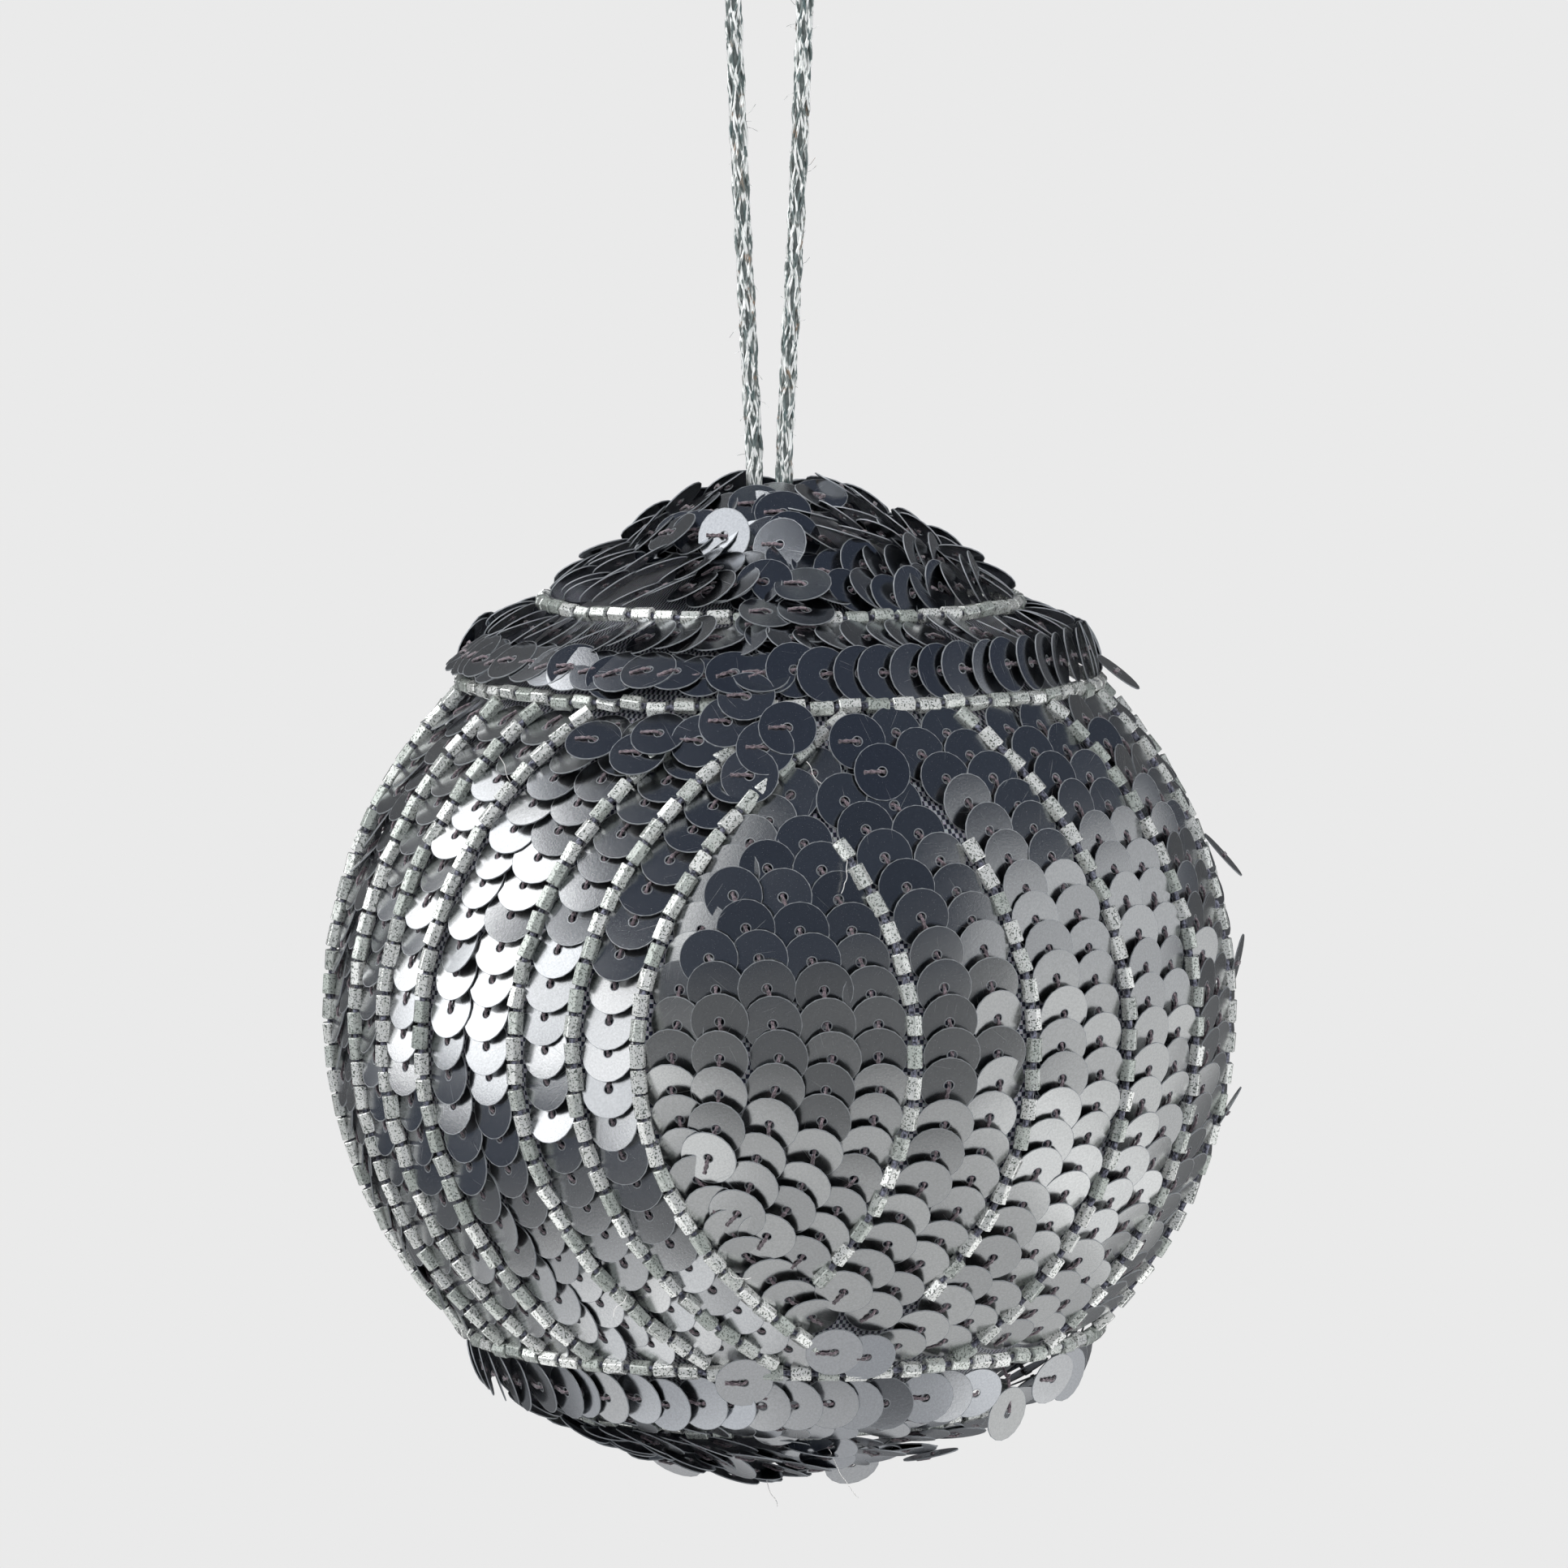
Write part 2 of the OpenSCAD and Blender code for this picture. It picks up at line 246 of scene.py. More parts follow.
cord_step = 0.0004
cord_line = smooth_line(route, cord_step)
cord = tube_lines("hanging_cord_braid", braid(cord_line, cord_step) + fluff(cord_line, 90, random.Random(3)),
                  0.00012)
cord.data.materials[0], cord.data.materials[1] = silver_yarn, cord_core
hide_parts("hanging_cord")
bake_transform(cord)


# ---- Studio ----
# A plain pale floor well below the ornament and a plain sweep behind it. A bright soft panel stands on the left
# and pale boards stand low on the right and below, which the metal mirrors. Three fills light what is matt.
def pale_stage(name, cast):
    """Pale to look at, and as bright as asked to what it lights."""
    material, tree, shader = new_finish(name, Roughness=0.9)
    tree.nodes.remove(shader)
    path = add_node(tree, "ShaderNodeLightPath")
    seen = add_node(tree, "ShaderNodeEmission", [("Color", (0.823, 0.823, 0.823, 1)), ("Strength", 1.0)])
    lit = add_node(tree, "ShaderNodeEmission", [("Color", (0.8, 0.82, 0.86, 1)), ("Strength", cast)])
    mix = add_node(tree, "ShaderNodeMixShader", [(0, path.outputs["Is Camera Ray"]), (1, lit.outputs[0]),
                                                 (2, seen.outputs[0])])
    tree.links.new(mix.outputs[0], tree.nodes["Material Output"].inputs["Surface"])
    return material


floor_drop = 1.3
bpy.ops.object.select_all(action="DESELECT")
bpy.ops.mesh.primitive_plane_add(size=8, location=(0, 0, -floor_drop))
ground = bpy.context.object
ground.name = "floor"
ground.data.materials.append(pale_stage("pale_floor", 0.2))
bpy.ops.mesh.primitive_plane_add(size=8, location=(0, 4, 4 - floor_drop), rotation=(pi / 2, 0, 0))
sweep = bpy.context.object
sweep.name = "sweep"
sweep.data.materials.append(pale_stage("pale_sweep", 0.12))

world = bpy.data.worlds.new("room")
world.use_nodes = True
bpy.context.scene.world = world
tree = world.node_tree
tree.nodes.clear()
path = add_node(tree, "ShaderNodeLightPath")
seen = add_node(tree, "ShaderNodeBackground", [("Color", (0.823, 0.823, 0.823, 1))])
lit = add_node(tree, "ShaderNodeBackground", [("Color", (0.05, 0.06, 0.084, 1))])
mix = add_node(tree, "ShaderNodeMixShader", [(0, path.outputs["Is Camera Ray"]), (1, lit.outputs[0]),
                                             (2, seen.outputs[0])])
tree.links.new(mix.outputs[0], add_node(tree, "ShaderNodeOutputWorld").inputs["Surface"])


def light_panel(name, azimuth, height, distance, width, length, radiance):
    """A soft panel facing the ball: azimuth 0 is the camera's side and 90 the right, in degrees."""
    panel = bpy.data.lights.new(name, "AREA")
    panel.shape = "RECTANGLE"
    panel.size, panel.size_y = width, length
    panel.energy = radiance * pi * width * length
    item = bpy.data.objects.new(name, panel)
    bpy.context.collection.objects.link(item)
    a, e = radians(azimuth), radians(height)
    towards = Vector((sin(a) * cos(e), -cos(a) * cos(e), sin(e)))
    item.location = ball + distance * towards
    item.rotation_euler = towards.to_track_quat("Z", "Y").to_euler()
    item.visible_camera = False


light_panel("left_panel", -97, 31, 1.0, 0.85, 1.0, 2.1)
light_panel("front_left_panel", -52, 17, 1.0, 0.6, 0.66, 1.35)
light_panel("right_panel", 89, -23, 1.0, 1.4, 1.3, 0.62)
light_panel("under_panel", 0, -90, 0.7, 1.6, 1.4, 0.43)
light_panel("low_left_panel", -88, -44, 1.0, 1.2, 0.6, 0.5)
for name, azimuth, height, radiance in (("left_fill", -60, 40, 9.0), ("front_fill", 10, 20, 7.0),
                                        ("right_fill", 75, 15, 7.0)):
    light_panel(name, azimuth, height, 1.2, 0.6, 0.6, radiance)
    bpy.data.objects[name].visible_glossy = False


# ---- Foam core, cord tails and glue plug ----
# A turned ball of light expanded foam with a socket in its crown. The cord's two tails are knotted in the
# socket and a plug of hot glue holds them. None of it shows from outside, so the shapes are the frame's own.
def add_relief(tree, shader, height, strength, distance):
    """Bumps on a finish, as high as the height socket says."""
    bump = add_node(tree, "ShaderNodeBump", [("Height", height), ("Strength", strength),
                                             ("Distance", distance)])
    tree.links.new(bump.outputs["Normal"], shader.inputs["Normal"])


foam, tree, shader = new_finish("foam", Roughness=0.85, Subsurface_Weight=0.1)
place = add_node(tree, "ShaderNodeTexCoord")
cells = add_node(tree, "ShaderNodeTexVoronoi", [("Vector", place.outputs["Object"]), ("Scale", 420.0)])
beads = two_tones(tree, cells.outputs["Distance"], (0.93, 0.92, 0.88), (0.78, 0.77, 0.73))
tree.links.new(beads.outputs["Color"], shader.inputs["Base Color"])
add_relief(tree, shader, cells.outputs["Distance"], 0.4, 0.0004)

glue, tree, shader = new_finish("glue", Roughness=0.32, Coat_Weight=0.3)
cloudy = two_tones(tree, own_noise(tree, 900.0).outputs["Fac"], (0.1, 0.045, 0.02), (0.5, 0.27, 0.12))
tree.links.new(cloudy.outputs["Color"], shader.inputs["Base Color"])
for node, finish in (("foam_core", foam), ("cord_tails", silver_yarn), ("glue_plug", glue)):
    frame["nodes"][node].data.materials.clear()
    frame["nodes"][node].data.materials.append(finish)


# ---- Glue beads ----
# Two small brown drips of hot glue, one round each strand of the cord where it goes into the crown. They are
# lumpy, because the glue was squeezed out of the socket as the cord was pushed home.
def glue_drip(node, seed):
    """A ball of glue with seven random lumps, fitted to its node's box."""
    low, high = (Vector(corner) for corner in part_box(node))
    middle, size = (low + high) / 2, high - low
    rng = random.Random(seed)
    bpy.ops.object.select_all(action="DESELECT")
    bpy.ops.mesh.primitive_ico_sphere_add(subdivisions=3, radius=0.5)
    drip = bpy.context.object
    drip.name = node + "_drip"
    lumps = [(Vector((rng.uniform(-1, 1), rng.uniform(-1, 1), rng.uniform(-0.6, 0.3))), rng.uniform(0.06, 0.14))
             for _ in range(7)]
    for vertex in drip.data.vertices:
        swell = sum(height * exp(-6 * (vertex.co * 2 - lump).length_squared) for lump, height in lumps)
        vertex.co *= 0.86 + swell
    bpy.ops.transform.resize(value=size, center_override=(0, 0, 0))
    bpy.ops.transform.translate(value=middle)
    bpy.ops.object.transform_apply(location=True, rotation=True, scale=True)
    bpy.ops.object.shade_smooth()
    drip.data.materials.append(glue)
    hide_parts(node)
    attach(drip, "ball")


glue_drip("glue_bead_left", 5)
glue_drip("glue_bead_right", 8)


# ---- Ground cloth ----
# The foam is covered in a fine woven check, pale and dark navy threads, cut in six pieces: crown, shoulder, two
# sides, lower band and base. It only shows in small gaps between the sequins, and it puckers where it is sewn.
bead_path_r = 0.0402
side_lat = 45.7
cloth_depth = 0.00215
cloth_t = 0.0004
crown_top, crown_ring, shoulder_ring = (0.003, 0.0456), (0.0204, 0.0358), (0.0281, 0.0288)
lower_ring, base_ring, base_bottom = (0.0281, -0.0288), (0.0193, -0.0353), (0.0005, -0.042)


def sums(tree, operation, a, b, **settings):
    """A sum on two values, each a socket or a plain number."""
    return add_node(tree, "ShaderNodeMath", [(0, a), (1, b)], operation=operation, **settings)


woven_check, tree, shader = new_finish("woven_check", Roughness=0.75, Sheen_Weight=0.25)
place = add_node(tree, "ShaderNodeTexCoord")
middle = add_node(tree, "ShaderNodeMapping", [("Vector", place.outputs["Object"]), ("Location", -ball)])
split = add_node(tree, "ShaderNodeSeparateXYZ", [("Vector", middle.outputs["Vector"])])
turn = sums(tree, "ARCTAN2", split.outputs["Y"], split.outputs["X"])
rise = sums(tree, "MULTIPLY", split.outputs["Z"], 1 / bead_path_r)
sheet_place = add_node(tree, "ShaderNodeCombineXYZ", [("X", turn.outputs[0]), ("Y", rise.outputs[0])])
checks = add_node(tree, "ShaderNodeTexChecker", [("Vector", sheet_place.outputs["Vector"]), ("Scale", 105.0),
                                                 ("Color1", (0.62, 0.64, 0.7, 1)),
                                                 ("Color2", (0.02, 0.024, 0.05, 1))])
fuzz = add_node(tree, "ShaderNodeTexNoise", [("Vector", sheet_place.outputs["Vector"]), ("Scale", 260.0)])
faded = mix_colours(tree, fuzz.outputs["Fac"], checks.outputs["Color"], fuzz.outputs["Color"],
                    blend_type="MULTIPLY")
tree.links.new(faded.outputs[2], shader.inputs["Base Color"])
add_relief(tree, shader, checks.outputs["Fac"], 0.5, 0.0001)


def deeper(corner, depth):
    """A corner of the ball's outline moved towards its middle."""
    share = 1 - depth / hypot(*corner)
    return corner[0] * share, corner[1] * share


def cloth_piece(name, node, outline, start, angle, seed):
    """Draws an outline, spins it round the ball's axis, puckers it between stitches and gives it thickness."""
    rng = random.Random(seed)
    bpy.ops.object.select_all(action="DESELECT")
    bpy.ops.mesh.primitive_plane_add(size=1)
    piece = bpy.context.object
    piece.name = name
    bpy.ops.object.mode_set(mode="EDIT")
    bpy.ops.mesh.select_all(action="SELECT")
    bpy.ops.mesh.delete(type="VERT")
    bpy.ops.object.mode_set(mode="OBJECT")
    turned = Matrix.Rotation(radians(start), 3, "Z")
    first = [turned @ Vector((r, 0, z)) for r, z in outline]
    piece.data.from_pydata(first, [(i, i + 1) for i in range(len(first) - 1)], [])
    bpy.ops.object.mode_set(mode="EDIT")
    bpy.ops.mesh.select_all(action="SELECT")
    bpy.ops.mesh.spin(steps=max(24, int(angle / 3)), angle=radians(angle), center=(0, 0, 0), axis=(0, 0, 1))
    bpy.ops.mesh.select_all(action="SELECT")
    bpy.ops.mesh.remove_doubles(threshold=0.00005)
    bpy.ops.mesh.normals_make_consistent(inside=False)
    bpy.ops.object.mode_set(mode="OBJECT")
    phase = [rng.uniform(0, 2 * pi) for _ in range(4)]
    for vertex in piece.data.vertices:
        turn = atan2(vertex.co.y, vertex.co.x)
        pucker = sin(41 * turn + phase[0]) * sin(vertex.co.z * 2300 + phase[1]) + sin(23 * turn + phase[2])
        vertex.co *= 1 + 0.0012 * pucker
        vertex.co += ball
    thick = piece.modifiers.new("thickness", "SOLIDIFY")
    thick.thickness, thick.offset = cloth_t, -1
    bpy.ops.object.modifier_apply(modifier=thick.name)
    bpy.ops.object.shade_smooth_by_angle(angle=radians(40))
    piece.data.materials.append(woven_check)
    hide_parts(node)
    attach(piece, "ball")


def straight(a, b):
    """A straight outline in five steps, between two corners of the ball's outline and as deep as the cloth."""
    a, b = deeper(a, cloth_depth), deeper(b, cloth_depth)
    return [(a[0] + (b[0] - a[0]) * k / 5, a[1] + (b[1] - a[1]) * k / 5) for k in range(6)]


cloth_r = bead_path_r - cloth_depth
side_outline = [(cloth_r * cos(radians(lat)), cloth_r * sin(radians(lat)))
                for lat in (side_lat * (k / 12 - 1) for k in range(25))]
cloth_piece("crown_cover", "crown_cloth", straight(crown_ring, crown_top), 0, 360, 1)
cloth_piece("shoulder_cover", "shoulder_cloth", straight(shoulder_ring, crown_ring), 0, 360, 2)
cloth_piece("side_cover_left", "side_cloth_left", side_outline, 90, 179.6, 3)
cloth_piece("side_cover_right", "side_cloth_right", side_outline, -90, 179.6, 4)
cloth_piece("band_cover", "band_cloth", straight(base_ring, lower_ring), 0, 360, 5)
cloth_piece("base_cover", "base_cloth", straight(base_bottom, base_ring), 0, 360, 6)


# ---- Sequins ----
# Round discs of gunmetal film 5 mm across, very slightly cupped, with a punched hole and a bright cut edge.
# The film is satin, finely grained and scratched. One is modelled, and each row is copies of it, each lying
# over the next and held by a stitch through its hole.
sequin_r = 0.0025
hole_r = 0.0004
sequin_t = 0.0001
sequin_pitch = 0.00278
sequin_tilt = 13.5


def model_sequin():
    """A disc: the hole's edge drawn out over the face, down the cut edge and back under to the hole."""
    bpy.ops.object.select_all(action="DESELECT")
    bpy.ops.mesh.primitive_circle_add(vertices=18, radius=hole_r, fill_type="NOTHING")
    item = bpy.context.object
    item.name = "sequin"
    bpy.ops.object.mode_set(mode="EDIT")
    bpy.ops.mesh.select_all(action="SELECT")
    radius = hole_r
    for next_radius, drop in ((0.0017, -0.000004), (sequin_r, -0.00003), (sequin_r, -sequin_t),
                              (hole_r, 0.000034)):
        bpy.ops.mesh.extrude_edges_move(TRANSFORM_OT_translate={"value": (0, 0, drop)})
        share = next_radius / radius
        bpy.ops.transform.resize(value=(share, share, 1), center_override=(0, 0, 0))
        radius = next_radius
    bpy.ops.mesh.select_mode(type="EDGE")
    bpy.ops.mesh.select_all(action="DESELECT")
    bpy.ops.object.mode_set(mode="OBJECT")
    inner = [v.index for v in item.data.vertices if hypot(v.co.x, v.co.y) < hole_r * 1.1]
    for edge in item.data.edges:
        edge.select = all(i in inner for i in edge.vertices)
    bpy.ops.object.mode_set(mode="EDIT")
    bpy.ops.mesh.bridge_edge_loops()
    bpy.ops.mesh.select_mode(type="VERT")
    bpy.ops.mesh.select_all(action="SELECT")
    bpy.ops.mesh.normals_make_consistent(inside=False)
    bpy.ops.object.mode_set(mode="OBJECT")
    bpy.ops.object.shade_smooth_by_angle(angle=radians(35))
    flat = item.data.uv_layers.new(name="disc")
    for loop in item.data.loops:
        spot = item.data.vertices[loop.vertex_index].co
        flat.data[loop.index].uv = (0.5 + spot.x / sequin_r / 2, 0.5 + spot.y / sequin_r / 2)
    item.data.attributes.new("mark", "FLOAT_COLOR", "POINT")
    return item


def lay_copies(template, name, places, rng):
    """Copies a modelled piece to each place and joins the copies; each copy keeps a random mark of its own."""
    copies = []
    for where in places:
        item = template.copy()
        item.data = template.data.copy()
        bpy.context.collection.objects.link(item)
        item.matrix_world = where
        if "mark" in item.data.attributes:
            mark = [rng.random(), rng.random(), rng.random(), 1.0]
            item.data.attributes["mark"].data.foreach_set("color", mark * len(item.data.vertices))
        copies.append(item)
    select_only(*copies)
    bpy.ops.object.join()
    joined = bpy.context.view_layer.objects.active
    bpy.ops.object.transform_apply(location=True, rotation=True, scale=True)
    joined.name = name
    joined.data.name = name
    return joined


def new_group(name, inputs, outputs):
    """A shader node group with named inputs and outputs; gives its tree, its input node and its output node."""
    tree = bpy.data.node_groups.new(name, "ShaderNodeTree")
    for socket, kind, value in inputs:
        made = tree.interface.new_socket(socket, in_out="INPUT", socket_type=kind)
        if value is not None:
            made.default_value = value
    for socket, kind in outputs:
        tree.interface.new_socket(socket, in_out="OUTPUT", socket_type=kind)
    return tree, tree.nodes.new("NodeGroupInput"), tree.nodes.new("NodeGroupOutput")


# Streaks and specks over a place, for the grain of the film and the tarnish of the beads
streaks, given, out = new_group("streaks", [("Vector", "NodeSocketVector", None),
                                            ("Fineness", "NodeSocketFloat", 1.0),
                                            ("Speck Share", "NodeSocketFloat", 0.3)],
                                [("Shade", "NodeSocketFloat"), ("Specks", "NodeSocketFloat")])
grain = add_node(streaks, "ShaderNodeTexNoise", [("Vector", given.outputs["Vector"]), ("Detail", 3.0),
                                                 ("Scale", given.outputs["Fineness"]), ("Roughness", 0.6)])
finer = sums(streaks, "MULTIPLY", given.outputs["Fineness"], 2.6)
dots = add_node(streaks, "ShaderNodeTexNoise", [("Vector", given.outputs["Vector"]), ("Detail", 1.0),
                                                ("Scale", finer.outputs[0])])
level = sums(streaks, "SUBTRACT", 1.0, given.outputs["Speck Share"])
above = sums(streaks, "SUBTRACT", dots.outputs["Fac"], level.outputs[0])
sharp = sums(streaks, "MULTIPLY", above.outputs[0], 14.0, use_clamp=True)
streaks.links.new(grain.outputs["Fac"], out.inputs["Shade"])
streaks.links.new(sharp.outputs[0], out.inputs["Specks"])


def add_marks(tree, where, fineness, speck_share):
    """The streaks group in a material, with the material's own values."""
    marks = add_node(tree, "ShaderNodeGroup", node_tree=streaks)
    tree.links.new(where, marks.inputs["Vector"])
    marks.inputs["Fineness"].default_value = fineness
    marks.inputs["Speck Share"].default_value = speck_share
    return marks


def sequin_film(name, dark, light, roughness):
    """Satin film: each disc has a tone of its own, fine grain, specks, a few scratches and bright cut edges."""
    material, tree, shader = new_finish(name, Metallic=1.0, Roughness=roughness)
    spot = add_node(tree, "ShaderNodeUVMap", uv_map="disc")
    mark = add_node(tree, "ShaderNodeAttribute", attribute_name="mark")
    far = add_node(tree, "ShaderNodeVectorMath", [(0, mark.outputs["Vector"]), (1, (31.0, 47.0, 59.0))],
                   operation="MULTIPLY")
    own = add_node(tree, "ShaderNodeVectorMath", [(0, spot.outputs["UV"]), (1, far.outputs[0])],
                   operation="ADD")
    tones = add_node(tree, "ShaderNodeSeparateColor", [("Color", mark.outputs["Color"])])
    tone = mix_colours(tree, tones.outputs["Red"], (*dark, 1), (*light, 1))

    marks = add_marks(tree, own.outputs[0], 26.0, 0.28)
    shade = ranged(tree, marks.outputs["Shade"], (0.3, 0.7), (0.9, 1.08))
    grained = add_node(tree, "ShaderNodeVectorMath", [(0, tone.outputs[2]), (1, shade.outputs["Result"])],
                       operation="MULTIPLY")
    swing = sums(tree, "MULTIPLY", tones.outputs["Green"], 2 * pi)
    turned = add_node(tree, "ShaderNodeVectorRotate", [("Vector", own.outputs[0]), ("Angle", swing.outputs[0])],
                      rotation_type="Z_AXIS")
    drawn = add_node(tree, "ShaderNodeMapping", [("Vector", turned.outputs[0]), ("Scale", (1.1, 52.0, 1.0))])
    lines = add_node(tree, "ShaderNodeTexNoise", [("Vector", drawn.outputs["Vector"]), ("Scale", 1.0),
                                                  ("Detail", 1.0)])
    scratch = ranged(tree, lines.outputs["Fac"], (0.735, 0.78))
    from_middle = add_node(tree, "ShaderNodeVectorMath", [(0, spot.outputs["UV"]), (1, (0.5, 0.5, 0))],
                           operation="DISTANCE")
    rim = ranged(tree, from_middle.outputs["Value"], (0.481, 0.493))
    lip = ranged(tree, from_middle.outputs["Value"], (0.098, 0.084))
    worn = sums(tree, "MAXIMUM", rim.outputs["Result"], lip.outputs["Result"])
    flecks = sums(tree, "MAXIMUM", marks.outputs["Specks"], scratch.outputs["Result"])
    flecks = sums(tree, "MULTIPLY", flecks.outputs[0], 0.3)
    bright = sums(tree, "MAXIMUM", worn.outputs[0], flecks.outputs[0])
    colour = mix_colours(tree, bright.outputs[0], grained.outputs[0], (0.34, 0.36, 0.38, 1))
    tree.links.new(colour.outputs[2], shader.inputs["Base Color"])
    dull = ranged(tree, bright.outputs[0], (0.0, 1.0), (roughness, 0.6))
    tree.links.new(dull.outputs["Result"], shader.inputs["Roughness"])
    metal = ranged(tree, bright.outputs[0], (0.0, 1.0), (1.0, 0.5))
    tree.links.new(metal.outputs["Result"], shader.inputs["Metallic"])
    add_relief(tree, shader, marks.outputs["Shade"], 0.25, 0.00002)
    return material


dark_film = sequin_film("dark_film", (0.49, 0.505, 0.52), (0.65, 0.655, 0.655), 0.23)
pale_film = sequin_film("pale_film", (0.5, 0.51, 0.51), (0.62, 0.63, 0.625), 0.23)
tier_film = sequin_film("tier_film", (0.43, 0.45, 0.48), (0.58, 0.59, 0.6), 0.22)
sequin = model_sequin()


def model_stitch():
    """Two twisted strands of thread, up through a sequin's hole and away over its face under the next disc."""
    strands = []
    for side in (-1, 1):
        points = []
        for k, rise in enumerate((-0.0002, 0.00012, 0.0002, 0.00017, 0.00013, 0.0001, 0.00005)):
            t = k / 6
            twist = side * 0.00009 * cos(3 * pi * t)
            points.append(Vector((0.00027 - 0.0019 * t, twist, rise)))
        strands.append((points, 1.0, 0))
    return tube_lines("stitch", strands, 0.00011)


stitch = model_stitch()

# The thread is a dusky purple-brown twist with a slight sheen
thread_finish, tree, shader = new_finish("sewing_thread", Roughness=0.5, Sheen_Weight=0.4)
twist = two_tones(tree, own_noise(tree, 5200.0).outputs["Fac"], (0.02, 0.015, 0.02), (0.22, 0.17, 0.19), 0.35,
                  0.68)
tree.links.new(twist.outputs["Color"], shader.inputs["Base Color"])
stitch.data.materials[0] = thread_finish


def spun(angle, axis):
    """A turn by this many degrees."""
    return Matrix.Rotation(radians(angle), 4, axis)


def on_ball(lon, lat, r):
    """A place on the ball, at a longitude (0 at the front) and latitude: +X outwards, +Y east, +Z up."""
    return Matrix.Translation(ball) @ spun(lon - 90, "Z") @ spun(-lat, "Y") @ Matrix.Translation((r, 0, 0))


def tilted(base, lift, tilt, cross=0.0):
    """A disc's place: lift is the way its raised edge points, 0 down the row, 90 east and 180 up the row."""
    return base @ spun(90, "Y") @ spun(lift, "Z") @ spun(-tilt, "Y") @ spun(cross, "X")


# The strips of rows lie at constant distances from a spine on each side of the ball. Each entry is the angle
# of a strip's bead line from the spine at the equator, and the number of rows up to the next line.
strips = [(72.5, 1), (64, 1), (55.5, 2), (39.5, 1), (31, 1), (22.5, 2), (6.5, 2), (-9.5, 2), (-25.5, 2),
          (-41.5, 2), (-57.5, 2), (-73.5, 5)]
last_dark_strip = 6
# By a strip's number of rows: how far its first row lies from the bead line, and how far apart its rows are
row_inset = {1: 4.3, 2: 4.7, 5: 4.3}
row_step = {1: 0, 2: 6.6, 5: 6.35}
row_lat = 41.6
disc_path_r = 0.0394
disc_seam_gap = 5.0
# One more row closes each leaf beside the other half's seam, lower and shorter than the rest
seam_row_inset = 4.3
seam_row_lat = 36
seam_row_sunk = -0.0002


def heading(angle, lat):
    """How far a row turns away from the meridian at a latitude, in degrees."""
    return degrees(atan(radians(angle) * tan(radians(lat))))


def seam_gap(angle, lat, seam):
    """Clear distance, in degrees, from a row to the other half's seam."""
    return (180 * cos(radians(lat)) - abs(angle) - seam) * cos(radians(heading(seam, lat)))


def row_lats(angle, pitch, top):
    """Latitudes a pitch apart along a row, from the bottom up, spread to end at the top latitude."""
    half = [0.0]
    while half[-1] + degrees(pitch / bead_path_r) * cos(radians(heading(angle, half[-1]))) <= top:
        half.append(half[-1] + degrees(pitch / bead_path_r) * cos(radians(heading(angle, half[-1]))))
    half = [lat * top / half[-1] for lat in half]
    return [-lat for lat in reversed(half[1:])] + half


stitches = {"left": [], "right": [], "upper": [], "lower": []}


def sequin_row(angle, side, over, rng, group, top, proud):
    """Places of one row's discs; over = 1 lays each over the next one below, -1 over the next one above."""
    places = []
    seam = strips[0][0]
    for lat in row_lats(angle, sequin_pitch, top):
        if angle < 0 and seam_gap(angle, lat, seam) < disc_seam_gap:
            continue
        lon = side + angle / cos(radians(lat)) + rng.gauss(0, 0.22)
        base = on_ball(lon, lat + rng.gauss(0, 0.2), disc_path_r + proud + rng.gauss(0, 0.00006))
        base = base @ spun(-heading(angle, lat), "X")
        lift = 0 if over > 0 else 180
        tilt, cross = sequin_tilt + rng.gauss(0, 2.2), (5 + rng.gauss(0, 3.5)) * over
        if rng.random() < 0.012:
            tilt += rng.uniform(5, 10)
        where = tilted(base, lift + rng.gauss(0, 7), tilt, cross)
        stitches[group].append(where)
        places.append(where @ Matrix.Rotation(rng.uniform(0, 2 * pi), 4, "Z"))
    return places


def sequin_piece(name, node, places, finish, rng):
    """The discs of one CAD group, as one piece on the ball."""
    piece = lay_copies(sequin, name, places, rng)
    piece.data.materials.clear()
    piece.data.materials.append(finish)
    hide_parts(node)
    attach(piece, "ball")


for half, side in (("left", -90), ("right", 90)):
    for number, (line, rows) in enumerate(strips):
        node = f"{half}_strip_{number + 1}" if rows < 5 else {"left": "leaf_back", "right": "leaf_front"}[half]
        rng = random.Random(node)
        over = 1 if number <= last_dark_strip else -1
        places = []
        for row in range(rows):
            raised = 0.0002 * row if over < 0 else 0.0
            places += sequin_row(line - row_inset[rows] - row * row_step[rows], side, over, rng, half, row_lat,
                                 raised)
        if rows == 5:
            places += sequin_row(strips[0][0] + seam_row_inset, -side, over, rng, half, seam_row_lat,
                                 seam_row_sunk)
        dark = number <= last_dark_strip
        sequin_piece(node + "_discs", node, places, dark_film if dark else pale_film,
                     rng)


# ---- Tier sequins ----
# Crown, shoulder, lower band and base are ringed by rows of the same discs, shingled sideways. They meet in a
# seam at the front of the crown and shoulder, and the crown's and base's rows are the least even.
# The band is bare round the disc that has come off it
bare_spot = Vector(frame["joints"][1]["pos_m"]) - Vector((0, 0, 0.0046))
bare_r = 0.0056


